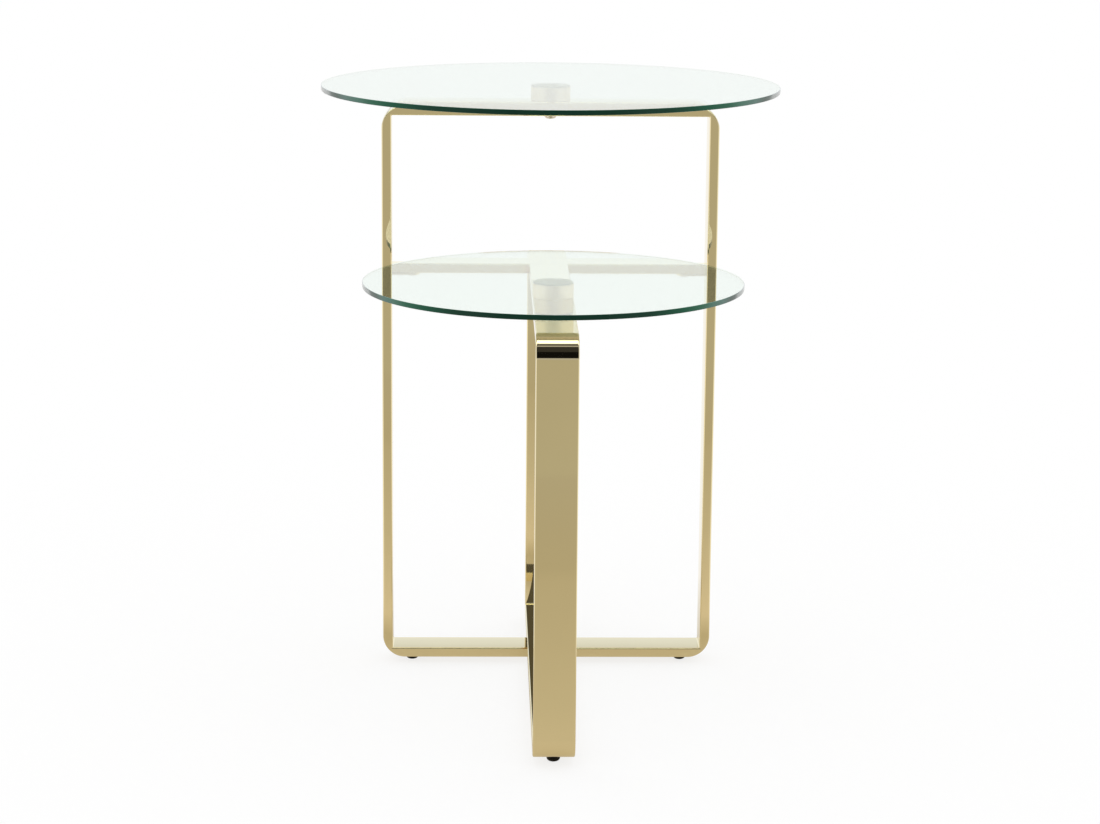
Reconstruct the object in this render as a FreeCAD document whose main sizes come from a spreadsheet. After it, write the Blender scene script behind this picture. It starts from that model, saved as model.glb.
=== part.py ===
import FreeCAD, Part
import os
import Sketcher

# Driving sizes in millimetres
SIZES = {
    "bar_width": 40,
    "bar_thickness": 10,
    "corner_radius": 23,
    "edge_ease": 1.2,
    "tall_loop_width": 342,
    "tall_loop_height": 579,
    "low_loop_height": 407,
    "low_front_reach": 361,
    "low_back_reach": 158,
    "upper_glass_diameter": 465,
    "lower_glass_diameter": 370,
    "lower_glass_reach": 174,
    "glass_thickness": 5,
    "disc_diameter": 40,
    "disc_height": 14,
    "bond_diameter": 39,
    "bond_thickness": 1,
    "screw_diameter": 6,
    "screw_clearance": 0.3,
    "screw_end_gap": 1.5,
    "disc_screw_head_diameter": 12,
    "disc_screw_head_height": 4.5,
    "disc_screw_crown_diameter": 8,
    "disc_screw_crown_height": 1.8,
    "disc_screw_engagement": 9,
    "rail_screw_head_diameter": 10.5,
    "rail_screw_head_height": 3.6,
    "rail_screw_crown_diameter": 6,
    "rail_screw_crown_height": 2.2,
    "rail_screw_engagement": 6.5,
    "tab_length": 38,
    "tab_thickness": 2,
    "tab_corner_radius": 6,
    "tab_screw_inset": 30,
    "foot_height": 7,
    "foot_diameter": 13,
    "foot_contact_diameter": 6,
    "foot_dome_height": 3.4,
    "foot_seat_gap": 0.3,
    "foot_inset": 30,
    "stud_diameter": 6,
    "stud_clearance": 0.3,
    "stud_reach": 7,
    "stud_embed": 4,
    "stud_end_gap": 1,
}

doc = FreeCAD.newDocument("tiered_side_table")
sheet = doc.addObject("Spreadsheet::Sheet", "Sheet")
for row, (alias, size) in enumerate(SIZES.items(), 1):
    sheet.set(f"A{row}", alias)
    sheet.set(f"B{row}", str(size))
    sheet.setAlias(f"B{row}", alias)
doc.recompute()

# Places worked out from the driving sizes, with the middle of the outer box at X 0 and Y 0 and the floor at Z 0
WIDTH = "Sheet.bar_width"
THICK = "Sheet.bar_thickness"
CORNER = "Sheet.corner_radius"
MITRE = "Sheet.corner_radius * (1 - cos(45 deg))"
TALL_SIDE = "Sheet.tall_loop_width / 2"
TALL_PLANE = "(Sheet.low_front_reach - Sheet.upper_glass_diameter / 2) / 2"
LOW_FRONT = f"{TALL_PLANE} - Sheet.low_front_reach"
LOW_BACK = f"{TALL_PLANE} + Sheet.low_back_reach"
LOW_DEPTH = "(Sheet.low_front_reach + Sheet.low_back_reach)"
BASE = "Sheet.foot_height"
TALL_TOP = f"{BASE} + Sheet.tall_loop_height"
LOW_TOP = f"{BASE} + Sheet.low_loop_height"
RAIL_FRONT = f"{TALL_PLANE} + {WIDTH} / 2"
RAIL_MIDDLE = f"{RAIL_FRONT} + {WIDTH} / 2"
RAIL_BACK = f"{RAIL_FRONT} + {WIDTH}"
RAIL_UNDERSIDE = f"{LOW_TOP} - {THICK}"
LOWER_GLASS_MIDDLE = f"{TALL_PLANE} - Sheet.lower_glass_reach"
SCREW_HOLE = "Sheet.screw_diameter + 2 * Sheet.screw_clearance"
STUD_HOLE = "Sheet.stud_diameter + 2 * Sheet.stud_clearance"
STUD_HOLE_DEPTH = "Sheet.stud_reach + Sheet.stud_end_gap"

LENGTHWISE = FreeCAD.Vector(1, 0, 0)
CROSSWISE = FreeCAD.Vector(0, 1, 0)
UPWARD = FreeCAD.Vector(0, 0, 1)


def worked_out(expression):
    """Number that an expression of the sheet's sizes stands for."""
    return float(sheet.evalExpression(expression))


def turned(axis, degrees):
    return FreeCAD.Rotation(axis, degrees)


UNTURNED = turned(UPWARD, 0)
ABOUT = turned(UPWARD, 180)
OVER = turned(LENGTHWISE, 180)
DOWNWARD = turned(CROSSWISE, 90)
UPRIGHT = turned(CROSSWISE, -90)
REARWARD = turned(UPWARD, 90)
FORWARD = turned(UPWARD, -90)


def add_body(label):
    body = doc.addObject("PartDesign::Body", label)
    body.Label = label
    return body


def place(item, across, back, up, turn=UNTURNED):
    """Turns a piece and binds its origin to places in the table."""
    item.Placement = FreeCAD.Placement(FreeCAD.Vector(), turn)
    item.setExpression("Placement.Base.x", across)
    item.setExpression("Placement.Base.y", back)
    item.setExpression("Placement.Base.z", up)


def add_sketch(body, name, role):
    sketch = body.newObject("Sketcher::SketchObject", f"{body.Label}_{name}")
    plane = [item for item in body.Origin.OriginFeatures if item.Role == role][0]
    sketch.AttachmentSupport = [(plane, "")]
    sketch.MapMode = "FlatFace"
    return sketch


def bind(sketch, name, kind, places, expression):
    """Adds one dimension and binds it, or keeps the point on the axis where the dimension is zero."""
    geometry, point = places
    if expression == "0":
        axis = -2 if kind == "DistanceX" else -1
        sketch.addConstraint(Sketcher.Constraint("PointOnObject", geometry, point, axis))
        return
    size = worked_out(expression)
    index = sketch.addConstraint(Sketcher.Constraint(kind, -1, 1, geometry, point, size))
    sketch.renameConstraint(index, name)
    sketch.setExpression(f"Constraints.{name}", expression)


def curved_side(start, end, radius):
    """Arc that bulges to the right of the way from start to end."""
    chord = end - start
    height = (radius ** 2 - (chord.Length / 2) ** 2) ** 0.5
    inward = FreeCAD.Vector(-chord.y, chord.x, 0).normalize()
    centre = (start + end) / 2 + inward * height
    circle = Part.Circle(centre, UPWARD, radius)
    return Part.ArcOfCircle(circle, circle.parameter(start), circle.parameter(end))


def add_profile(body, name, role, corners, arcs):
    """Closed outline, drawn anticlockwise through its corners; arcs gives the radius of each curved side."""
    sketch = add_sketch(body, name, role)
    points = [FreeCAD.Vector(worked_out(across), worked_out(up), 0) for across, up in corners]
    count = len(points)
    for side, start in enumerate(points):
        end = points[(side + 1) % count]
        if side in arcs:
            sketch.addGeometry(curved_side(start, end, worked_out(arcs[side])))
        else:
            sketch.addGeometry(Part.LineSegment(start, end))
    for side, (across, up) in enumerate(corners):
        sketch.addConstraint(Sketcher.Constraint("Coincident", side, 2, (side + 1) % count, 1))
        bind(sketch, f"across_{side}", "DistanceX", (side, 1), across)
        bind(sketch, f"up_{side}", "DistanceY", (side, 1), up)
    for side, radius in arcs.items():
        index = sketch.addConstraint(Sketcher.Constraint("Radius", side, worked_out(radius)))
        sketch.renameConstraint(index, f"radius_{side}")
        sketch.setExpression(f"Constraints.radius_{side}", radius)
    return sketch


def add_pad(body, sketch, length, side_type):
    pad = body.newObject("PartDesign::Pad", f"{body.Label}_pad")
    pad.Profile = sketch
    pad.SideType = side_type
    pad.setExpression("Length", length)
    sketch.Visibility = False
    doc.recompute()
    return pad


def add_hole(body, name, along, beside, diameter, depth):
    """Round hole upward from the face that lies on the body's own ground plane."""
    sketch = add_sketch(body, f"{name}_circle", "XY_Plane")
    centre = FreeCAD.Vector(worked_out(along), worked_out(beside), 0)
    sketch.addGeometry(Part.Circle(centre, UPWARD, worked_out(diameter) / 2))
    bind(sketch, "along", "DistanceX", (0, 3), along)
    bind(sketch, "beside", "DistanceY", (0, 3), beside)
    index = sketch.addConstraint(Sketcher.Constraint("Diameter", 0, worked_out(diameter)))
    sketch.renameConstraint(index, "diameter")
    sketch.setExpression("Constraints.diameter", diameter)
    before = body.Tip.Shape.Volume
    pocket = body.newObject("PartDesign::Pocket", f"{body.Label}_{name}")
    pocket.Profile = sketch
    pocket.Reversed = True
    pocket.setExpression("Length", depth)
    sketch.Visibility = False
    doc.recompute()
    if not pocket.Shape.Volume < before:
        raise RuntimeError(f"{pocket.Label} cuts nothing")


def is_long_edge(edge):
    """True for the edges that run along a bar and around its outer corners."""
    if edge.Curve.TypeId == "Part::GeomCircle":
        return True
    return edge.Curve.Direction.isParallel(LENGTHWISE, Part.Precision.angular())


def add_bar(label, outline, holes=()):
    """Flat bar with its outer face on its own ground plane, its length along X and its long edges eased."""
    body = add_body(label)
    corners, arcs = outline
    sketch = add_profile(body, "outline", "XZ_Plane", corners, arcs)
    pad = add_pad(body, sketch, WIDTH, "Symmetric")
    eased = body.newObject("PartDesign::Chamfer", f"{label}_eased_edges")
    edges = enumerate(pad.Shape.Edges, 1)
    eased.Base = (pad, [f"Edge{index}" for index, edge in edges if is_long_edge(edge)])
    eased.setExpression("Size", "Sheet.edge_ease")
    doc.recompute()
    for name, along, diameter, depth in holes:
        add_hole(body, name, along, "0", diameter, depth)
    return body


def mitred_outline(length):
    """Side of a loop, mitred at both ends inside the loop's rounded outer corners."""
    corners = [
        (CORNER, "0"),
        (f"{length} - {CORNER}", "0"),
        (f"{length} - {MITRE}", MITRE),
        (f"{length} - {THICK}", THICK),
        (THICK, THICK),
        (MITRE, MITRE),
    ]
    return corners, {1: CORNER, 5: CORNER}


def half_mitred_outline(length):
    """Part of a loop's side, mitred at its start and square at its end."""
    corners = [
        (CORNER, "0"),
        (length, "0"),
        (length, THICK),
        (THICK, THICK),
        (MITRE, MITRE),
    ]
    return corners, {4: CORNER}


def square_outline(length):
    corners = [("0", "0"), (length, "0"), (length, THICK), ("0", THICK)]
    return corners, {}


def add_turned(label, corners):
    """Round piece turned about its own upright axis."""
    body = add_body(label)
    sketch = add_profile(body, "section", "XZ_Plane", corners, {})
    turn = body.newObject("PartDesign::Revolution", f"{label}_turn")
    turn.Profile = sketch
    turn.ReferenceAxis = (sketch, ["V_Axis"])
    sketch.Visibility = False
    doc.recompute()
    return body


def add_plate(label, diameter, thickness):
    """Round flat plate that stands on its own ground plane."""
    radius = f"{diameter} / 2"
    return add_turned(label, [("0", "0"), (radius, "0"), (radius, thickness), ("0", thickness)])


def add_disc(label):
    """Metal boss with a blind screw hole in its underside."""
    radius = "Sheet.disc_diameter / 2"
    height = "Sheet.disc_height"
    hole = f"({SCREW_HOLE}) / 2"
    depth = "Sheet.disc_screw_engagement + Sheet.screw_end_gap"
    corners = [
        (hole, "0"),
        (radius, "0"),
        (radius, height),
        ("0", height),
        ("0", depth),
        (hole, depth),
    ]
    return add_turned(label, corners)


def add_screw(label, family, length):
    """Domed screw that stands head down, with its head's top at the foot of the profile."""
    head = f"Sheet.{family}_head_diameter / 2"
    crown = f"Sheet.{family}_crown_diameter / 2"
    rim = f"Sheet.{family}_crown_height"
    height = f"Sheet.{family}_head_height"
    shank = "Sheet.screw_diameter / 2"
    end = f"{height} + {length}"
    corners = [
        ("0", "0"),
        (crown, "0"),
        (head, rim),
        (head, height),
        (shank, height),
        (shank, end),
        ("0", end),
    ]
    return add_turned(label, corners)


def add_tab(label):
    """Thin plate with rounded inner corners and a screw hole, its outer end on its own upright axis."""
    body = add_body(label)
    length = "Sheet.tab_length"
    round_off = "Sheet.tab_corner_radius"
    corners = [
        ("0", "0"),
        (f"{length} - {round_off}", "0"),
        (length, round_off),
        (length, f"{WIDTH} - {round_off}"),
        (f"{length} - {round_off}", WIDTH),
        ("0", WIDTH),
    ]
    sketch = add_profile(body, "outline", "XY_Plane", corners, {1: round_off, 3: round_off})
    add_pad(body, sketch, "Sheet.tab_thickness", "One side")
    add_hole(body, "screw_hole", "Sheet.tab_screw_inset", f"{WIDTH} / 2", SCREW_HOLE, "Sheet.tab_thickness")
    return body


def add_glide(label):
    """Domed foot with a flat to stand on and a socket for its stud, standing on its own ground plane."""
    contact = "Sheet.foot_contact_diameter / 2"
    radius = "Sheet.foot_diameter / 2"
    height = "Sheet.foot_height - Sheet.foot_seat_gap"
    stud = "Sheet.stud_diameter / 2"
    socket = f"{height} - Sheet.stud_embed"
    corners = [
        ("0", "0"),
        (contact, "0"),
        (radius, "Sheet.foot_dome_height"),
        (radius, height),
        (stud, height),
        (stud, socket),
        ("0", socket),
    ]
    return add_turned(label, corners)


def add_stud(label):
    stud = doc.addObject("Part::Cylinder", label)
    stud.Label = label
    stud.setExpression("Radius", "Sheet.stud_diameter / 2")
    stud.setExpression("Height", "Sheet.stud_embed + Sheet.foot_seat_gap + Sheet.stud_reach")
    return stud


# Tall loop: its base bar is parted by the low loop's base bar
base_half = f"{TALL_SIDE} - {WIDTH} / 2"
tall_foot_hole = ("stud_hole", "Sheet.foot_inset", STUD_HOLE, STUD_HOLE_DEPTH)
upper_screw_hole = ("screw_hole", TALL_SIDE, SCREW_HOLE, THICK)
tall_top_bar = add_bar("tall_top_bar", mitred_outline("Sheet.tall_loop_width"), [upper_screw_hole])
place(tall_top_bar, f"-{TALL_SIDE}", TALL_PLANE, TALL_TOP, OVER)
tall_left_leg = add_bar("tall_left_leg", mitred_outline("Sheet.tall_loop_height"))
place(tall_left_leg, f"-{TALL_SIDE}", TALL_PLANE, TALL_TOP, DOWNWARD)
tall_right_leg = add_bar("tall_right_leg", mitred_outline("Sheet.tall_loop_height"))
place(tall_right_leg, TALL_SIDE, TALL_PLANE, BASE, UPRIGHT)
tall_left_base_bar = add_bar("tall_left_base_bar", half_mitred_outline(base_half), [tall_foot_hole])
place(tall_left_base_bar, f"-{TALL_SIDE}", TALL_PLANE, BASE)
tall_right_base_bar = add_bar("tall_right_base_bar", half_mitred_outline(base_half), [tall_foot_hole])
place(tall_right_base_bar, TALL_SIDE, TALL_PLANE, BASE, ABOUT)

# Low loop: its upper bar is parted by the cross rail
front_length = f"({RAIL_FRONT}) - ({LOW_FRONT})"
rear_length = f"({LOW_BACK}) - ({RAIL_BACK})"
lower_screw_place = f"({LOWER_GLASS_MIDDLE}) - ({LOW_FRONT})"
back_foot_place = f"{LOW_DEPTH} - Sheet.foot_inset"
low_foot_holes = [
    ("front_stud_hole", "Sheet.foot_inset", STUD_HOLE, STUD_HOLE_DEPTH),
    ("back_stud_hole", back_foot_place, STUD_HOLE, STUD_HOLE_DEPTH),
]
lower_screw_hole = ("screw_hole", lower_screw_place, SCREW_HOLE, THICK)
low_front_leg = add_bar("low_front_leg", mitred_outline("Sheet.low_loop_height"))
place(low_front_leg, "0", LOW_FRONT, LOW_TOP, REARWARD * DOWNWARD)
low_back_leg = add_bar("low_back_leg", mitred_outline("Sheet.low_loop_height"))
place(low_back_leg, "0", LOW_BACK, BASE, REARWARD * UPRIGHT)
low_base_bar = add_bar("low_base_bar", mitred_outline(LOW_DEPTH), low_foot_holes)
place(low_base_bar, "0", LOW_FRONT, BASE, REARWARD)
low_front_top_bar = add_bar("low_front_top_bar", half_mitred_outline(front_length), [lower_screw_hole])
place(low_front_top_bar, "0", LOW_FRONT, LOW_TOP, REARWARD * OVER)
low_rear_top_bar = add_bar("low_rear_top_bar", half_mitred_outline(rear_length))
place(low_rear_top_bar, "0", LOW_BACK, LOW_TOP, FORWARD * OVER)

# Cross rail behind the tall legs, with a tab and a screw under each end
rail_hole_depth = "Sheet.rail_screw_engagement + Sheet.screw_end_gap"
rail_holes = [
    ("left_screw_hole", "Sheet.tab_screw_inset", SCREW_HOLE, rail_hole_depth),
    ("right_screw_hole", "Sheet.tall_loop_width - Sheet.tab_screw_inset", SCREW_HOLE, rail_hole_depth),
]
cross_rail = add_bar("cross_rail", square_outline("Sheet.tall_loop_width"), rail_holes)
place(cross_rail, f"-{TALL_SIDE}", RAIL_MIDDLE, RAIL_UNDERSIDE)
tab_underside = f"{RAIL_UNDERSIDE} - Sheet.tab_thickness"
rail_screw_bottom = f"{tab_underside} - Sheet.rail_screw_head_height"
rail_screw_side = f"{TALL_SIDE} - Sheet.tab_screw_inset"
rail_screw_length = "Sheet.tab_thickness + Sheet.rail_screw_engagement"
left_rail_tab = add_tab("left_rail_tab")
place(left_rail_tab, f"-{TALL_SIDE}", RAIL_FRONT, tab_underside)
right_rail_tab = add_tab("right_rail_tab")
place(right_rail_tab, TALL_SIDE, RAIL_BACK, tab_underside, ABOUT)
left_rail_screw = add_screw("left_rail_screw", "rail_screw", rail_screw_length)
place(left_rail_screw, f"-({rail_screw_side})", RAIL_MIDDLE, rail_screw_bottom)
right_rail_screw = add_screw("right_rail_screw", "rail_screw", rail_screw_length)
place(right_rail_screw, rail_screw_side, RAIL_MIDDLE, rail_screw_bottom)


def add_tier(tier, diameter, middle, bar_top):
    """Screw, boss, bond and glass of one tier, stacked over a bar's middle line."""
    disc_screw = add_screw(f"{tier}_disc_screw", "disc_screw", f"{THICK} + Sheet.disc_screw_engagement")
    place(disc_screw, "0", middle, f"{bar_top} - {THICK} - Sheet.disc_screw_head_height")
    disc = add_disc(f"{tier}_disc")
    place(disc, "0", middle, bar_top)
    bond = add_plate(f"{tier}_bond", "Sheet.bond_diameter", "Sheet.bond_thickness")
    place(bond, "0", middle, f"{bar_top} + Sheet.disc_height")
    glass = add_plate(f"{tier}_glass", diameter, "Sheet.glass_thickness")
    place(glass, "0", middle, f"{bar_top} + Sheet.disc_height + Sheet.bond_thickness")


add_tier("upper", "Sheet.upper_glass_diameter", TALL_PLANE, TALL_TOP)
add_tier("lower", "Sheet.lower_glass_diameter", LOWER_GLASS_MIDDLE, LOW_TOP)

# Feet: a black glide on a threaded stud under each corner of the loops
foot_side = f"{TALL_SIDE} - Sheet.foot_inset"
foot_places = {
    "left": (f"-({foot_side})", TALL_PLANE),
    "right": (foot_side, TALL_PLANE),
    "front": ("0", f"{LOW_FRONT} + Sheet.foot_inset"),
    "back": ("0", f"{LOW_BACK} - Sheet.foot_inset"),
}
stud_bottom = "Sheet.foot_height - Sheet.foot_seat_gap - Sheet.stud_embed"
for side, (across, back) in foot_places.items():
    place(add_glide(f"{side}_foot_glide"), across, back, "0")
    place(add_stud(f"{side}_foot_stud"), across, back, stud_bottom)

doc.recompute()

# Each piece is one valid solid in a file of its own
os.makedirs("parts", exist_ok=True)
for item in doc.Objects:
    if "Invalid" in item.State or "Error" in item.State:
        raise RuntimeError(f"{item.Label} did not build")
pieces = [item for item in doc.Objects if item.TypeId in ("PartDesign::Body", "Part::Cylinder")]
for piece in pieces:
    if piece.Shape.isNull() or not piece.Shape.isValid() or len(piece.Shape.Solids) != 1:
        raise RuntimeError(f"{piece.Label} is not one valid solid")
    piece.Shape.exportStep(f"parts/{piece.Label}.step")
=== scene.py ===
import math

import bpy
from bpy.props import FloatProperty, FloatVectorProperty, IntProperty, PointerProperty
from mathutils import Matrix, Vector


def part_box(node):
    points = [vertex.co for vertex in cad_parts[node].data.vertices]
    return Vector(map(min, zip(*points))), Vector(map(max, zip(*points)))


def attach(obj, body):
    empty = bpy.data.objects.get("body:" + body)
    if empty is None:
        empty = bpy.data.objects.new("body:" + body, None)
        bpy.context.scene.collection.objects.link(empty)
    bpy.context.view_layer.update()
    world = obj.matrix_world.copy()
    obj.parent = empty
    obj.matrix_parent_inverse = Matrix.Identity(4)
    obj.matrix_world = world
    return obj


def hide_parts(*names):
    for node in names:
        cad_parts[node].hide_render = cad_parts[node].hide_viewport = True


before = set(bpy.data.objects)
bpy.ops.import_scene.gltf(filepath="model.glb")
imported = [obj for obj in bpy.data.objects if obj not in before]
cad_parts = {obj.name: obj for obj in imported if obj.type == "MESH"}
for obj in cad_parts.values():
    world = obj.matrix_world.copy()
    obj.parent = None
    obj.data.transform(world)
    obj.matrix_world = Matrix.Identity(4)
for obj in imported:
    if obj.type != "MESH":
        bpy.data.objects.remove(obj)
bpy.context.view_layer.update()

bl_info = {
    "name": "Tiered side table",
    "version": (1, 0, 0),
    "blender": (4, 5, 0),
    "location": "View3D > Sidebar > Side table",
    "description": "Models the two glass tiers and the polished flat-bar frame of a side table",
    "category": "Add Mesh",
}

MM = 0.001
TOUCH = 0.01 * MM
LEVEL_FACE = 0.99

TALL_NODES = (
    "tall_top_bar", "tall_left_leg", "tall_right_leg", "tall_left_base_bar", "tall_right_base_bar")
LOW_NODES = (
    "low_front_leg", "low_back_leg", "low_base_bar", "low_front_top_bar", "low_rear_top_bar")
FEET = ("left", "right", "front", "back")


class TableSizes(bpy.types.PropertyGroup):
    corner_radius: FloatProperty(
        name="Corner radius", description="Outer radius of the loops' bent corners",
        default=23 * MM, unit="LENGTH")
    corner_steps: IntProperty(
        name="Corner steps", description="Facets around each outer corner", default=48, min=8)
    edge_ease: FloatProperty(
        name="Edge easing", description="Rounding of the bars' long edges", default=1.3 * MM, unit="LENGTH")
    glass_arris: FloatProperty(
        name="Glass arris", description="Ground edge of each glass", default=0.6 * MM, unit="LENGTH")
    glass_steps: IntProperty(
        name="Glass steps", description="Facets around each glass", default=256, min=32)


class TableFinish(bpy.types.PropertyGroup):
    brass: FloatVectorProperty(
        name="Brass", description="Reflected colour of the plated bars", subtype="COLOR",
        default=(0.88, 0.765, 0.48), min=0, max=1)
    glass_edge: FloatVectorProperty(
        name="Glass edge", description="Colour of the ground glass rim", subtype="COLOR",
        default=(0.004, 0.046, 0.028), min=0, max=1)
    glass_tint: FloatVectorProperty(
        name="Glass tint", description="Colour of light that passes a glass", subtype="COLOR",
        default=(0.80, 0.87, 0.80), min=0, max=1)
    glide: FloatVectorProperty(
        name="Glide", description="Colour of the moulded feet", subtype="COLOR",
        default=(0.004, 0.0035, 0.003), min=0, max=1)


class TableStage(bpy.types.PropertyGroup):
    focal_pixels: FloatProperty(
        name="Focal length", description="Focal length in pixels of an image 1100 wide", default=2964.79)
    camera_place: FloatVectorProperty(
        name="Camera place", description="Where the camera stands", subtype="TRANSLATION",
        default=(-71.53 * MM, -2943.24 * MM, 919.24 * MM))
    camera_angles: FloatVectorProperty(
        name="Camera angles", description="Yaw, downward pitch and roll", subtype="EULER",
        default=(0.0245, 0.2138, 0.0087))
    floor_shade: FloatProperty(
        name="Floor shade", description="Reflectance of the pale floor", default=0.20, min=0, max=1)


GROUPS = (("table_sizes", TableSizes), ("table_finish", TableFinish), ("table_stage", TableStage))


# Modelling helpers

def whole_box(*nodes):
    """Lowest and highest corner of several solids taken together."""
    boxes = [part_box(node) for node in nodes]
    low = Vector([min(box[0][axis] for box in boxes) for axis in range(3)])
    high = Vector([max(box[1][axis] for box in boxes) for axis in range(3)])
    return low, high


def rest_selection():
    """Leaves edit mode with nothing selected."""
    if bpy.context.object and bpy.context.object.mode != "OBJECT":
        bpy.ops.object.mode_set(mode="OBJECT")
    bpy.ops.object.select_all(action="DESELECT")


def take(piece):
    """Makes one piece the only selected and active one."""
    rest_selection()
    piece.select_set(True)
    bpy.context.view_layer.objects.active = piece


def settle(name):
    """Names the new primitive and puts its place and size into its mesh."""
    piece = bpy.context.object
    piece.name = name
    piece.data.name = name
    bpy.ops.object.transform_apply(location=True, rotation=True, scale=True)
    return piece


def add_block(name, low, high):
    """A block between two corners."""
    rest_selection()
    bpy.ops.mesh.primitive_cube_add(size=1, location=(low + high) / 2, scale=high - low)
    return settle(name)


def add_round(name, middle, radius, low, high, steps):
    """An upright cylinder between two heights."""
    rest_selection()
    place = (middle.x, middle.y, (low + high) / 2)
    bpy.ops.mesh.primitive_cylinder_add(vertices=steps, radius=radius, depth=high - low, location=place)
    return settle(name)


def pick(piece, kind, test):
    """Enters edit mode with just the faces or edges that pass a test selected."""
    take(piece)
    bpy.ops.object.mode_set(mode="EDIT")
    bpy.ops.mesh.select_mode(type=kind)
    bpy.ops.mesh.select_all(action="DESELECT")
    bpy.ops.object.mode_set(mode="OBJECT")
    mesh = piece.data
    if kind == "EDGE":
        for edge in mesh.edges:
            edge.select = test(*(mesh.vertices[index].co for index in edge.vertices))
    else:
        for face in mesh.polygons:
            face.select = test(face)
    bpy.ops.object.mode_set(mode="EDIT")


def near(first, second):
    return abs(first - second) < TOUCH


def bevel_edges(piece, test, width, steps):
    """Rounds the edges that pass a test."""
    pick(piece, "EDGE", test)
    bpy.ops.mesh.bevel(offset=width, offset_type="OFFSET", segments=steps, profile=0.5, affect="EDGES")
    bpy.ops.object.mode_set(mode="OBJECT")


def dome_foot(piece, bottom, width, steps):
    """Rounds the lower rim of an upright round piece."""
    bevel_edges(piece, lambda a, b: near(a.z, bottom) and near(b.z, bottom), width, steps)


def ease_edges(piece, width, steps=3, limit=40):
    """Eases every edge that is sharper than the limit in degrees."""
    take(piece)
    ease = piece.modifiers.new("eased", "BEVEL")
    ease.width = width
    ease.segments = steps
    ease.limit_method = "ANGLE"
    ease.angle_limit = math.radians(limit)
    ease.use_clamp_overlap = False
    ease.loop_slide = False
    bpy.ops.object.modifier_apply(modifier=ease.name)


def cut_away(piece, cutter):
    """Takes the cutter's solid out of the piece."""
    take(piece)
    cut = piece.modifiers.new("cut", "BOOLEAN")
    cut.operation = "DIFFERENCE"
    cut.solver = "EXACT"
    cut.object = cutter
    bpy.ops.object.modifier_apply(modifier=cut.name)
    bpy.data.objects.remove(cutter)


def trim(piece, point, keep):
    """Saws the piece through a point and keeps the side that keep points to."""
    take(piece)
    bpy.ops.object.mode_set(mode="EDIT")
    bpy.ops.mesh.select_all(action="SELECT")
    bpy.ops.mesh.bisect(
        plane_co=point, plane_no=keep, use_fill=True, clear_inner=True, threshold=0.1 * TOUCH)
    bpy.ops.object.mode_set(mode="OBJECT")


def copy_piece(piece, name):
    take(piece)
    bpy.ops.object.duplicate(linked=False)
    twin = bpy.context.object
    twin.name = name
    twin.data.name = name
    return twin


def polish(piece, angle=32):
    """Smooth shading that keeps flats flat and sharp edges sharp."""
    take(piece)
    bpy.ops.object.shade_smooth_by_angle(angle=math.radians(angle))
    even = piece.modifiers.new("even", "WEIGHTED_NORMAL")
    even.keep_sharp = True
    even.weight = 100
    bpy.ops.object.modifier_apply(modifier=even.name)


def hand_over(piece, body, slot, finishes, *nodes):
    """Gives a finished piece its finishes and its body, and hides the solids that it stands for."""
    piece.data.materials.clear()
    for finish in finishes:
        piece.data.materials.append(finish)
    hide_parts(*nodes)
    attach(piece, body)


# Node helpers

def node(tree, kind, **settings):
    item = tree.nodes.new(kind)
    for key, value in settings.items():
        setattr(item, key, value)
    return item


def plug(tree, value, socket):
    """Puts a plain number on a socket, or links another node's output to it."""
    if isinstance(value, (int, float)):
        socket.default_value = value
    else:
        tree.links.new(value, socket)


def maths(tree, operation, *values):
    """A sum on plain numbers and other nodes' outputs."""
    item = node(tree, "ShaderNodeMath", operation=operation)
    for socket, value in zip(item.inputs, values):
        plug(tree, value, socket)
    return item.outputs["Value"]


def noise(tree, coordinates, scale, detail):
    item = node(tree, "ShaderNodeTexNoise")
    item.inputs["Scale"].default_value = scale
    item.inputs["Detail"].default_value = detail
    tree.links.new(coordinates, item.inputs["Vector"])
    return item.outputs["Fac"]


def spread(tree, factor, low, high):
    """Maps a 0 to 1 pattern onto a range of values."""
    item = node(tree, "ShaderNodeMapRange")
    item.inputs["To Min"].default_value = low
    item.inputs["To Max"].default_value = high
    tree.links.new(factor, item.inputs["Value"])
    return item.outputs["Result"]


def share_of(tree, value, low, high):
    """Maps a range of values onto 0 to 1."""
    item = node(tree, "ShaderNodeMapRange")
    item.inputs["From Min"].default_value = low
    item.inputs["From Max"].default_value = high
    tree.links.new(value, item.inputs["Value"])
    return item.outputs["Result"]


def far_out(tree, value, limits):
    """0 near the middle, rising smoothly to 1 on both sides of it."""
    item = node(tree, "ShaderNodeMapRange", interpolation_type="SMOOTHSTEP")
    item.inputs["From Min"].default_value, item.inputs["From Max"].default_value = limits
    tree.links.new(maths(tree, "ABSOLUTE", value), item.inputs["Value"])
    return item.outputs["Result"]


def axes_of(tree, vector):
    item = node(tree, "ShaderNodeSeparateXYZ")
    tree.links.new(vector, item.inputs["Vector"])
    return item.outputs


def blend_values(tree, factor, first, second):
    """Mixes two numbers, each a plain one or a node's output."""
    item = node(tree, "ShaderNodeMix", data_type="FLOAT")
    for key, value in (("Factor", factor), ("A", first), ("B", second)):
        plug(tree, value, item.inputs[key])
    return item.outputs["Result"]


def blend_colours(tree, factor, first, second):
    """Mixes two colours, each a plain one or a node's output."""
    item = node(tree, "ShaderNodeMix", data_type="RGBA")
    tree.links.new(factor, item.inputs["Factor"])
    for key, value in (("A", first), ("B", second)):
        if isinstance(value, tuple):
            item.inputs[key].default_value = (*value, 1)
        else:
            tree.links.new(value, item.inputs[key])
    return item.outputs["Result"]


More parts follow.
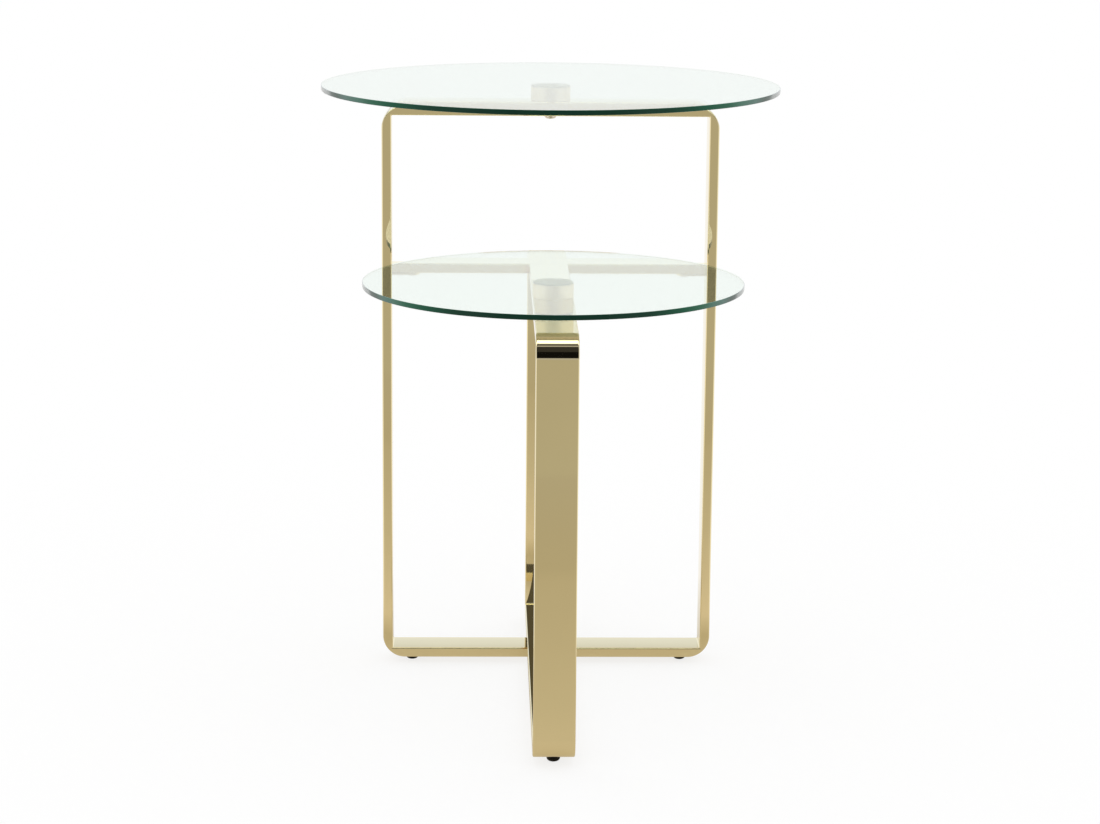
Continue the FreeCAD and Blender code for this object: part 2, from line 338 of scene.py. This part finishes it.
def ramp_of(tree, factor, stops):
    """A colour ramp through the given places and colours."""
    item = node(tree, "ShaderNodeValToRGB")
    ramp = item.color_ramp
    while len(ramp.elements) < len(stops):
        ramp.elements.new(1.0)
    for element, (place, colour) in zip(ramp.elements, stops):
        element.position = place
        element.color = (*colour, 1)
    tree.links.new(factor, item.inputs["Fac"])
    return item.outputs["Color"]


def toned(colour, factor):
    return tuple(min(1.0, channel * factor) for channel in colour)


# Finishes

BRIGHT_HAZE = (0.02, 0.05)
SATIN_HAZE = (0.32, 0.40)
SCREW_TONES = ((0.70, 0.63, 0.54), (0.78, 0.71, 0.62))
STUD_TONES = ((0.50, 0.50, 0.48), (0.62, 0.62, 0.60))
BOND_TONES = ((0.42, 0.42, 0.20), (0.46, 0.46, 0.23))
GLASS_INDEX = 1.52
THROUGH_RIM = (0.90, 0.96, 0.92, 1)

# Tones of the ground rim, from seen square on to seen at a slant: deep green square on, then a painted
# reflection of the pale studio that lightens it towards the slant
RIM_GREEN_AND_PAINTED_SHEEN = (
    (0.0, (0.004, 0.046, 0.024)), (0.15, (0.006, 0.060, 0.032)), (0.28, (0.016, 0.140, 0.075)),
    (0.38, (0.050, 0.210, 0.125)), (0.46, (0.130, 0.300, 0.225)), (0.56, (0.180, 0.320, 0.275)),
    (0.64, (0.130, 0.190, 0.160)), (0.70, (0.150, 0.200, 0.180)), (0.75, (0.560, 0.600, 0.580)),
    (1.0, (0.640, 0.660, 0.650)))


def new_finish(name):
    """A finish and its node tree, or no tree where the finish is there already."""
    finish = bpy.data.materials.get(name)
    if finish:
        return finish, None
    finish = bpy.data.materials.new(name)
    finish.use_nodes = True
    return finish, finish.node_tree


def polished_brass(name="polished_brass", centre=(0, 0, 0), crown=(0, 0, 0), haze=BRIGHT_HAZE):
    """Mirror-bright plating, slightly cloudy, with the slight crown that polishing leaves across a bar."""
    finish, tree = new_finish(name)
    if tree is None:
        return finish
    surface = tree.nodes["Principled BSDF"]
    surface.inputs["Metallic"].default_value = 1.0
    place = node(tree, "ShaderNodeTexCoord").outputs["Object"]
    colour = bpy.context.scene.table_finish.brass
    cloud = noise(tree, place, 9.0, 3.0)
    clouded = blend_colours(tree, cloud, toned(colour, 0.96), toned(colour, 1.04))
    tree.links.new(clouded, surface.inputs["Base Color"])
    tree.links.new(spread(tree, noise(tree, place, 26.0, 6.0), *haze), surface.inputs["Roughness"])
    wave = node(tree, "ShaderNodeBump")
    wave.inputs["Strength"].default_value = 0.02
    wave.inputs["Distance"].default_value = 0.5 * MM
    tree.links.new(noise(tree, place, 14.0, 1.0), wave.inputs["Height"])
    offset = node(tree, "ShaderNodeVectorMath", operation="SUBTRACT")
    tree.links.new(place, offset.inputs[0])
    offset.inputs[1].default_value = centre
    tilt = node(tree, "ShaderNodeVectorMath", operation="MULTIPLY_ADD")
    tree.links.new(offset.outputs["Vector"], tilt.inputs[0])
    tilt.inputs[1].default_value = crown
    tree.links.new(wave.outputs["Normal"], tilt.inputs[2])
    unit = node(tree, "ShaderNodeVectorMath", operation="NORMALIZE")
    tree.links.new(tilt.outputs["Vector"], unit.inputs[0])
    tree.links.new(unit.outputs["Vector"], surface.inputs["Normal"])
    return finish


def mottled_metal(name, tones, grain, roughness):
    """Plain plated metal with a fine mottle."""
    finish, tree = new_finish(name)
    if tree is None:
        return finish
    surface = tree.nodes["Principled BSDF"]
    surface.inputs["Metallic"].default_value = 1.0
    place = node(tree, "ShaderNodeTexCoord").outputs["Object"]
    mottle = noise(tree, place, grain, 3.0)
    tree.links.new(blend_colours(tree, mottle, *tones), surface.inputs["Base Color"])
    surface.inputs["Roughness"].default_value = roughness
    return finish


def pale_brass():
    """Duller, paler plating of the screws."""
    return mottled_metal("pale_brass", SCREW_TONES, 200.0, 0.15)


def plated_steel():
    """Zinc-plated thread of a foot stud."""
    return mottled_metal("plated_steel", STUD_TONES, 300.0, 0.3)


def clear_glass():
    """The level faces of a glass."""
    finish, tree = new_finish("glass_plate")
    if tree is None:
        return finish
    surface = tree.nodes["Principled BSDF"]
    surface.inputs["Base Color"].default_value = (*bpy.context.scene.table_finish.glass_tint, 1)
    surface.inputs["Roughness"].default_value = 0.0
    surface.inputs["IOR"].default_value = GLASS_INDEX
    surface.inputs["Transmission Weight"].default_value = 1.0
    return finish


def glass_edge():
    """Ground rim, deep green from outside because light runs along the plate, paled towards a slant by a
    painted reflection, and clear from within.
    """
    finish, tree = new_finish("glass_edge")
    if tree is None:
        return finish
    surface = tree.nodes["Principled BSDF"]
    place = node(tree, "ShaderNodeTexCoord").outputs["Object"]
    colour = bpy.context.scene.table_finish.glass_edge
    streak = noise(tree, place, 60.0, 3.0)
    deep = blend_colours(tree, streak, toned(colour, 0.8), toned(colour, 1.25))
    grazing = node(tree, "ShaderNodeLayerWeight")
    grazing.inputs["Blend"].default_value = 0.5
    # Painted reflection: the rim's base colour turns paler, to teal and near white, the more of a slant it
    # is seen at
    tones = ramp_of(tree, grazing.outputs["Facing"], RIM_GREEN_AND_PAINTED_SHEEN)
    slant = share_of(tree, grazing.outputs["Facing"], 0.0, RIM_GREEN_AND_PAINTED_SHEEN[1][0])
    tree.links.new(blend_colours(tree, slant, deep, tones), surface.inputs["Base Color"])
    surface.inputs["Roughness"].default_value = 0.12
    surface.inputs["IOR"].default_value = GLASS_INDEX
    surface.inputs["Specular IOR Level"].default_value = 0.15
    within = node(tree, "ShaderNodeBsdfTransparent")
    within.inputs["Color"].default_value = THROUGH_RIM
    sides = node(tree, "ShaderNodeMixShader")
    tree.links.new(node(tree, "ShaderNodeNewGeometry").outputs["Backfacing"], sides.inputs["Fac"])
    tree.links.new(surface.outputs["BSDF"], sides.inputs[1])
    tree.links.new(within.outputs["BSDF"], sides.inputs[2])
    tree.links.new(sides.outputs["Shader"], tree.nodes["Material Output"].inputs["Surface"])
    return finish


def bond_layer():
    """Pale khaki layer between a boss and its glass."""
    finish, tree = new_finish("bond_layer")
    if tree is None:
        return finish
    surface = tree.nodes["Principled BSDF"]
    place = node(tree, "ShaderNodeTexCoord").outputs["Object"]
    mottle = noise(tree, place, 240.0, 4.0)
    tree.links.new(blend_colours(tree, mottle, *BOND_TONES), surface.inputs["Base Color"])
    surface.inputs["Roughness"].default_value = 0.4
    return finish


def black_glide():
    """Moulded plastic with a fine satin grain."""
    finish, tree = new_finish("black_glide")
    if tree is None:
        return finish
    surface = tree.nodes["Principled BSDF"]
    place = node(tree, "ShaderNodeTexCoord").outputs["Object"]
    colour = bpy.context.scene.table_finish.glide
    grain = noise(tree, place, 900.0, 3.0)
    grained = blend_colours(tree, grain, toned(colour, 0.8), toned(colour, 1.4))
    tree.links.new(grained, surface.inputs["Base Color"])
    tree.links.new(spread(tree, grain, 0.38, 0.55), surface.inputs["Roughness"])
    surface.inputs["Specular IOR Level"].default_value = 0.2
    bump = node(tree, "ShaderNodeBump")
    bump.inputs["Strength"].default_value = 0.15
    bump.inputs["Distance"].default_value = 0.05 * MM
    tree.links.new(grain, bump.inputs["Height"])
    tree.links.new(bump.outputs["Normal"], surface.inputs["Normal"])
    return finish


# Loops of flat bar

# How far polishing turns a face's direction, in radians for each metre from the middle of the bar
BAR_CROWN = 1.6
TALL_LEG_CROWN = 12.0
BACK_LEG_CROWN = 3.5
# How far inwards of its middle a tall leg's crown is centred
TALL_LEG_LEAN = 3 * MM
EASE_STEPS = 6


def add_loop(name, low, high, open_axis, sizes):
    """Rounded block with a sharp-cornered window through it along one axis."""
    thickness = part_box("cross_rail")[1].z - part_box("cross_rail")[0].z
    loop = add_block(name, low, high)
    bevel_edges(
        loop, lambda a, b: not near(a[open_axis], b[open_axis]), sizes.corner_radius, sizes.corner_steps)
    inset = Vector((thickness, thickness, thickness))
    inset[open_axis] = -thickness
    cut_away(loop, add_block(f"{name}_window", low + inset, high - inset))
    ease_edges(loop, sizes.edge_ease, EASE_STEPS)
    return loop


def crowned_brass(name, crown):
    """Brass with its crown centred on one bar."""
    low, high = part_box(name)
    middle = (low + high) / 2
    if name in ("tall_left_leg", "tall_right_leg"):
        middle.x -= math.copysign(TALL_LEG_LEAN, middle.x)
    return polished_brass(f"{name}_brass", middle, crown)


def saw_apart(loop, saws, crowns):
    """Makes each bar from a copy of the loop, sawn at its mitres and butts."""
    for name, cuts in saws.items():
        crown = crowns.get(name, crowns["rest"])
        bar = copy_piece(loop, f"{name}_shown")
        for point, keep in cuts:
            trim(bar, point, keep.normalized())
        polish(bar)
        hand_over(bar, "table", "frame_brass", [crowned_brass(name, crown)], name)
    bpy.data.objects.remove(loop)


class AddTallLoop(bpy.types.Operator):
    """Models the tall loop as a rounded frame, eases its edges and saws it into its mitred bars"""
    bl_idname = "side_table.tall_loop"
    bl_label = "Tall loop"

    def execute(self, context):
        low, high = whole_box(*TALL_NODES)
        base_low, base_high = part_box("low_base_bar")
        loop = add_loop("tall_loop", low, high, 1, context.scene.table_sizes)
        across, up = Vector((1, 0, 0)), Vector((0, 0, 1))
        left_top, left_base = Vector((low.x, 0, high.z)), Vector((low.x, 0, low.z))
        right_top, right_base = Vector((high.x, 0, high.z)), Vector((high.x, 0, low.z))
        saws = {
            "tall_top_bar": [(left_top, across + up), (right_top, up - across)],
            "tall_left_leg": [(left_top, -across - up), (left_base, up - across)],
            "tall_right_leg": [(right_top, across - up), (right_base, across + up)],
            "tall_left_base_bar": [(left_base, across - up), (base_low, -across)],
            "tall_right_base_bar": [(right_base, -across - up), (base_high, across)],
        }
        leg = (TALL_LEG_CROWN, BAR_CROWN, 0)
        saw_apart(loop, saws, {"tall_left_leg": leg, "tall_right_leg": leg, "rest": (0, BAR_CROWN, 0)})
        return {"FINISHED"}


class AddLowLoop(bpy.types.Operator):
    """Models the low loop as a rounded frame, eases its edges and saws it into its bars"""
    bl_idname = "side_table.low_loop"
    bl_label = "Low loop"

    def execute(self, context):
        low, high = whole_box(*LOW_NODES)
        rail_low, rail_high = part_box("cross_rail")
        loop = add_loop("low_loop", low, high, 0, context.scene.table_sizes)
        back, up = Vector((0, 1, 0)), Vector((0, 0, 1))
        front_top, front_base = Vector((0, low.y, high.z)), Vector((0, low.y, low.z))
        back_top, back_base = Vector((0, high.y, high.z)), Vector((0, high.y, low.z))
        saws = {
            "low_front_leg": [(front_top, -back - up), (front_base, up - back)],
            "low_back_leg": [(back_top, back - up), (back_base, back + up)],
            "low_base_bar": [(front_base, back - up), (back_base, -back - up)],
            "low_front_top_bar": [(front_top, back + up), (rail_low, -back)],
            "low_rear_top_bar": [(back_top, up - back), (rail_high, back)],
        }
        saw_apart(loop, saws, {"low_back_leg": (BACK_LEG_CROWN, 0, 0), "rest": (0, 0, 0)})
        return {"FINISHED"}


# Rail, screws, bosses, glasses and feet

TAB_CORNER = 6 * MM
TAB_CORNER_STEPS = 12
TAB_EASE = 0.3 * MM
SCREW_HEADS = {
    "left_rail_screw": 3.6 * MM, "right_rail_screw": 3.6 * MM,
    "upper_disc_screw": 4.5 * MM, "lower_disc_screw": 4.5 * MM}
SCREW_STEPS = 48
SHANK_RADIUS = 3 * MM
# Shares of a screw head's height and radius
HEAD_DOME = 0.55
HEAD_DOME_STEPS = 8
SOCKET_RIM = 0.12
SOCKET_DEPTH = 0.45
BOSS_STEPS = 128
BOSS_EASE = 0.6 * MM
BOND_EASE = 0.2 * MM
# Keeps the bond's top from lying in the same plane as the glass
BOND_GAP = 0.05 * MM
GLIDE_STEPS = 64
GLIDE_DOME = 3.4 * MM
GLIDE_DOME_STEPS = 10
GLIDE_EASE = 0.4 * MM
GLIDE_SHARP = 60


class AddRail(bpy.types.Operator):
    """Models the cross rail and the tabs under its ends"""
    bl_idname = "side_table.rail"
    bl_label = "Cross rail"

    def execute(self, context):
        sizes = context.scene.table_sizes
        rail = add_block("cross_rail_shown", *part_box("cross_rail"))
        ease_edges(rail, sizes.edge_ease, EASE_STEPS)
        polish(rail)
        hand_over(rail, "table", "frame_brass", [polished_brass()], "cross_rail")
        for side in ("left", "right"):
            low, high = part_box(f"{side}_rail_tab")
            tab = add_block(f"{side}_rail_tab_shown", low, high)
            end = high.x if side == "left" else low.x
            bevel_edges(
                tab, lambda a, b: near(a.x, end) and near(b.x, end) and not near(a.z, b.z),
                TAB_CORNER, TAB_CORNER_STEPS)
            ease_edges(tab, TAB_EASE, 2)
            polish(tab)
            hand_over(tab, "table", "frame_brass", [polished_brass()], f"{side}_rail_tab")
        return {"FINISHED"}


class AddScrews(bpy.types.Operator):
    """Models the domed screws under the rail and under the bosses, each with a socket in its head"""
    bl_idname = "side_table.screws"
    bl_label = "Screws"

    def execute(self, context):
        for name, head in SCREW_HEADS.items():
            low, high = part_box(name)
            radius = (high.x - low.x) / 2
            screw = add_round(
                f"{name}_shown", (low + high) / 2, radius, low.z, low.z + head, SCREW_STEPS)
            dome_foot(screw, low.z, head * HEAD_DOME, HEAD_DOME_STEPS)
            pick(screw, "FACE", lambda face: face.normal.z < -LEVEL_FACE)
            bpy.ops.mesh.inset(thickness=radius * SOCKET_RIM)
            bpy.ops.mesh.extrude_region_move(
                TRANSFORM_OT_translate={"value": (0, 0, head * SOCKET_DEPTH)})
            pick(screw, "FACE", lambda face: face.normal.z > LEVEL_FACE)
            bpy.ops.mesh.inset(thickness=radius - SHANK_RADIUS)
            bpy.ops.mesh.extrude_region_move(
                TRANSFORM_OT_translate={"value": (0, 0, high.z - low.z - head)})
            bpy.ops.object.mode_set(mode="OBJECT")
            polish(screw)
            hand_over(screw, "table", "screw_brass", [pale_brass()], name)
        return {"FINISHED"}


class AddBosses(bpy.types.Operator):
    """Models the round bosses under the glasses and the bond on each"""
    bl_idname = "side_table.bosses"
    bl_label = "Bosses"

    def execute(self, context):
        for tier in ("upper", "lower"):
            low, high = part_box(f"{tier}_disc")
            boss = add_round(
                f"{tier}_disc_shown", (low + high) / 2, (high.x - low.x) / 2, low.z, high.z, BOSS_STEPS)
            ease_edges(boss, BOSS_EASE)
            polish(boss)
            satin = polished_brass("satin_brass", haze=SATIN_HAZE)
            hand_over(boss, "table", "frame_brass", [satin], f"{tier}_disc")
            low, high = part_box(f"{tier}_bond")
            bond = add_round(
                f"{tier}_bond_shown", (low + high) / 2, (high.x - low.x) / 2, low.z, high.z - BOND_GAP,
                BOSS_STEPS)
            ease_edges(bond, BOND_EASE, 2)
            polish(bond)
            hand_over(bond, "table", "bond", [bond_layer()], f"{tier}_bond")
        return {"FINISHED"}


class AddGlasses(bpy.types.Operator):
    """Models the two round glasses with ground rims"""
    bl_idname = "side_table.glasses"
    bl_label = "Glasses"

    def execute(self, context):
        sizes = context.scene.table_sizes
        for name in ("upper_glass", "lower_glass"):
            low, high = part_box(name)
            radius = (high.x - low.x) / 2
            glass = add_round(f"{name}_shown", (low + high) / 2, radius, low.z, high.z, sizes.glass_steps)
            ease_edges(glass, sizes.glass_arris)
            polish(glass)
            hand_over(glass, "table", "clear_glass", [clear_glass(), glass_edge()], name)
            for face in glass.data.polygons:
                face.material_index = 0 if abs(face.normal.z) > LEVEL_FACE else 1
            glass.visible_shadow = False
        return {"FINISHED"}


class AddFeet(bpy.types.Operator):
    """Models the domed glides and finishes the studs that they turn on"""
    bl_idname = "side_table.feet"
    bl_label = "Feet"

    def execute(self, context):
        for side in FEET:
            low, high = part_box(f"{side}_foot_glide")
            glide = add_round(
                f"{side}_foot_glide_shown", (low + high) / 2, (high.x - low.x) / 2, low.z, high.z,
                GLIDE_STEPS)
            dome_foot(glide, low.z, GLIDE_DOME, GLIDE_DOME_STEPS)
            ease_edges(glide, GLIDE_EASE, 2, GLIDE_SHARP)
            polish(glide)
            hand_over(glide, f"{side}_foot", "glide", [black_glide()], f"{side}_foot_glide")
            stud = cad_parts[f"{side}_foot_stud"]
            stud.data.materials.clear()
            stud.data.materials.append(plated_steel())
        return {"FINISHED"}


# Stage

MIRROR_BOUNCES = 10
FLOOR_SIZE = 40
SENSOR_WIDTH = 36
PHOTO_WIDTH = 1100
SIGHT_RANGE = 100

# Painted shade of the floor where metal mirrors it, by its distance in front of or behind the table: darker
# in front and in a strip just before the table, paler behind it
MIRRORED_FLOOR_PAINTED_SHADE = (
    (-2.5, (0.29, 0.268, 0.185)), (-1.50, (0.308, 0.288, 0.205)), (-1.46, (0.292, 0.268, 0.192)),
    (-1.02, (0.30, 0.264, 0.168)), (-0.96, (0.33, 0.29, 0.19)), (-0.85, (0.34, 0.30, 0.20)),
    (-0.5, (0.40, 0.355, 0.25)), (-0.14, (0.54, 0.47, 0.36)), (-0.06, (0.365, 0.31, 0.20)),
    (0.10, (0.50, 0.46, 0.38)), (0.40, (0.78, 0.78, 0.78)))
# Where painted light brightens the mirrored floor sideways, by bearing and by distance from the middle
SIDE_BEARING = (0.40, 0.75)
SIDE_REACH = (0.22, 0.42)

# Level of the mirrored studio by its angle over the table, from the front horizon to the back one
FRONT_BANDS = (
    (0, 0.50), (5, 0.48), (7, 0.006), (34, 0.006), (36, 0.036), (58, 0.036), (59.5, 0.03), (60.5, 0.48),
    (64, 0.48), (65.5, 0.13), (75, 0.16))
BACK_BANDS = (
    (77.5, 2.8), (93.5, 2.8), (96, 0.36), (100, 0.40), (112, 0.60), (128, 0.60), (142, 0.50), (150, 0.34),
    (155, 0.40), (160, 0.76), (163, 0.82), (166, 0.86), (169, 1.05), (173, 1.0), (180, 1.0))
GLASS_FRONT_BANDS = ((0, 1.0), (62, 1.0))
STUDIO_TINTS = (
    (0, (1, 1, 1)), (92, (1, 1, 1)), (100, (1, 0.86, 0.74)), (148, (1, 0.86, 0.74)), (157, (1, 1, 1)),
    (161, (0.99, 1.05, 1.12)))
HALF_TURN = 180
SIDE_SKY = (0.55, 0.90)
SIDE_LEVEL = 0.8
ROOM_LEVEL = 0.8
TWICE_MIRRORED = 0.10
OVERHEAD_LEVEL = 0.63
OVERHEAD_SPREAD = 80


def mirrored(tree, path, times):
    """1 for rays that mirrors have turned at least so many times, and 0 for the rest."""
    return maths(tree, "GREATER_THAN", path["Glossy Depth"], times - 0.5)


def seen(tree, path):
    """1 for rays from the camera, straight, through glass or mirrored, and 0 for the object's light."""
    straight = maths(tree, "MAXIMUM", path["Is Camera Ray"], path["Is Transmission Ray"])
    return maths(tree, "MAXIMUM", straight, path["Is Glossy Ray"])


def painted_floor_light_and_shade(tree):
    """Painted light and shade on the floor as the polished bars mirror it: darker in front and just before
    the table, paler behind and to the sides.
    """
    place = node(tree, "ShaderNodeTexCoord").outputs["Object"]
    axes = axes_of(tree, place)
    first, last = MIRRORED_FLOOR_PAINTED_SHADE[0][0], MIRRORED_FLOOR_PAINTED_SHADE[-1][0]
    stops = [((y - first) / (last - first), shade) for y, shade in MIRRORED_FLOOR_PAINTED_SHADE]
    lengthways = ramp_of(tree, share_of(tree, axes["Y"], first, last), stops)
    bearing = node(tree, "ShaderNodeVectorMath", operation="NORMALIZE")
    tree.links.new(place, bearing.inputs[0])
    aside = far_out(tree, axes_of(tree, bearing.outputs["Vector"])["X"], SIDE_BEARING)
    beside = maths(tree, "MULTIPLY", aside, far_out(tree, axes["X"], SIDE_REACH))
    return blend_colours(tree, beside, lengthways, MIRRORED_FLOOR_PAINTED_SHADE[-1][1])


def lay_floor(stage):
    rest_selection()
    bpy.ops.mesh.primitive_plane_add(size=FLOOR_SIZE, location=(0, 0, 0))
    floor = bpy.context.object
    floor.name = "studio_floor"
    finish, tree = new_finish("pale_floor")
    tree.nodes.remove(tree.nodes["Principled BSDF"])
    path = node(tree, "ShaderNodeLightPath").outputs
    matt = node(tree, "ShaderNodeBsdfDiffuse")
    matt.inputs["Color"].default_value = (stage.floor_shade, stage.floor_shade, stage.floor_shade, 1)
    lift = node(tree, "ShaderNodeEmission")
    rest = 1 - stage.floor_shade
    # Mirrored rays see the floor's painted light and shade, while camera rays see an even white
    shown = blend_colours(tree, mirrored(tree, path, 1), (rest, rest, rest), painted_floor_light_and_shade(tree))
    tree.links.new(shown, lift.inputs["Color"])
    tree.links.new(seen(tree, path), lift.inputs["Strength"])
    both = node(tree, "ShaderNodeAddShader")
    tree.links.new(matt.outputs["BSDF"], both.inputs[0])
    tree.links.new(lift.outputs["Emission"], both.inputs[1])
    tree.links.new(both.outputs["Shader"], tree.nodes["Material Output"].inputs["Surface"])
    floor.data.materials.append(finish)


def bands_of(tree, share, bands):
    return ramp_of(tree, share, [(angle / HALF_TURN, (level, level, level)) for angle, level in bands])


def light_studio(scene):
    world = bpy.data.worlds.new("studio")
    scene.world = world
    world.use_nodes = True
    tree = world.node_tree
    sky = tree.nodes["Background"]
    path = node(tree, "ShaderNodeLightPath").outputs
    axes = axes_of(tree, node(tree, "ShaderNodeTexCoord").outputs["Generated"])
    ahead = maths(tree, "MULTIPLY", axes["Y"], -1.0)
    share = maths(tree, "DIVIDE", maths(tree, "ARCTAN2", axes["Z"], ahead), math.pi)
    aside = far_out(tree, axes["X"], SIDE_SKY)
    turned = mirrored(tree, path, 1)

    metal_bands = bands_of(tree, share, FRONT_BANDS + BACK_BANDS)
    glass_bands = bands_of(tree, share, GLASS_FRONT_BANDS + BACK_BANDS)
    bands = blend_values(tree, path["Is Singular Ray"], metal_bands, glass_bands)
    studio = blend_values(tree, aside, bands, SIDE_LEVEL)
    lifted = maths(tree, "MAXIMUM", studio, TWICE_MIRRORED)
    studio = blend_values(tree, mirrored(tree, path, 2), studio, lifted)
    shown = blend_values(tree, turned, 1.0, studio)
    tree.links.new(blend_values(tree, seen(tree, path), ROOM_LEVEL, shown), sky.inputs["Strength"])

    tints = ramp_of(tree, share, [(angle / HALF_TURN, tint) for angle, tint in STUDIO_TINTS])
    off_glass = maths(tree, "MULTIPLY", path["Is Singular Ray"], path["Is Reflection Ray"])
    off_metal = blend_values(tree, off_glass, turned, 0.0)
    tinted = blend_values(tree, aside, off_metal, 0.0)
    tree.links.new(blend_colours(tree, tinted, (1, 1, 1), tints), sky.inputs["Color"])

    rest_selection()
    bpy.ops.object.light_add(type="SUN", location=(0, 0, 3))
    lamp = bpy.context.object
    lamp.name = "overhead_light"
    lamp.data.energy = OVERHEAD_LEVEL
    lamp.data.angle = math.radians(OVERHEAD_SPREAD)
    lamp.visible_glossy = False
    lamp.visible_transmission = False


def set_camera(scene, stage):
    rest_selection()
    bpy.ops.object.camera_add()
    camera = bpy.context.object
    camera.name = "photo_camera"
    yaw, pitch, roll = stage.camera_angles
    ahead = Vector((math.sin(yaw) * math.cos(pitch), math.cos(yaw) * math.cos(pitch), -math.sin(pitch)))
    right = Vector((math.cos(yaw), -math.sin(yaw), 0))
    up = right.cross(ahead)
    side = math.cos(roll) * right + math.sin(roll) * up
    top = -math.sin(roll) * right + math.cos(roll) * up
    turn = Matrix((side, top, -ahead)).transposed().to_4x4()
    camera.matrix_world = Matrix.Translation(stage.camera_place) @ turn
    camera.data.sensor_fit = "HORIZONTAL"
    camera.data.sensor_width = SENSOR_WIDTH
    camera.data.lens = SENSOR_WIDTH * stage.focal_pixels / PHOTO_WIDTH
    camera.data.clip_end = SIGHT_RANGE
    scene.camera = camera


class SetStage(bpy.types.Operator):
    """Sets the pale floor, the soft studio light and the camera"""
    bl_idname = "side_table.stage"
    bl_label = "Stage"

    def execute(self, context):
        stage = context.scene.table_stage
        context.scene.view_settings.view_transform = "Standard"
        context.scene.cycles.glossy_bounces = MIRROR_BOUNCES
        lay_floor(stage)
        light_studio(context.scene)
        set_camera(context.scene, stage)
        return {"FINISHED"}


OPERATORS = (AddTallLoop, AddLowLoop, AddRail, AddScrews, AddBosses, AddGlasses, AddFeet, SetStage)


class TablePanel(bpy.types.Panel):
    """Lists the table's sizes, finishes and stage, and the steps that model it"""
    bl_idname = "VIEW3D_PT_side_table"
    bl_label = "Side table"
    bl_space_type = "VIEW_3D"
    bl_region_type = "UI"
    bl_category = "Side table"

    def draw(self, context):
        for group, _ in GROUPS:
            settings = getattr(context.scene, group)
            for key in settings.__annotations__:
                self.layout.prop(settings, key)
        for operator in OPERATORS:
            self.layout.operator(operator.bl_idname)


def register():
    for group, kind in GROUPS:
        bpy.utils.register_class(kind)
        setattr(bpy.types.Scene, group, PointerProperty(type=kind))
    for kind in (*OPERATORS, TablePanel):
        bpy.utils.register_class(kind)


def unregister():
    for kind in (TablePanel, *reversed(OPERATORS)):
        bpy.utils.unregister_class(kind)
    for group, kind in reversed(GROUPS):
        delattr(bpy.types.Scene, group)
        bpy.utils.unregister_class(kind)


def main():
    register()
    bpy.ops.side_table.tall_loop()
    bpy.ops.side_table.low_loop()
    bpy.ops.side_table.rail()
    bpy.ops.side_table.screws()
    bpy.ops.side_table.bosses()
    bpy.ops.side_table.glasses()
    bpy.ops.side_table.feet()
    bpy.ops.side_table.stage()


if __name__ == "__main__":
    main()
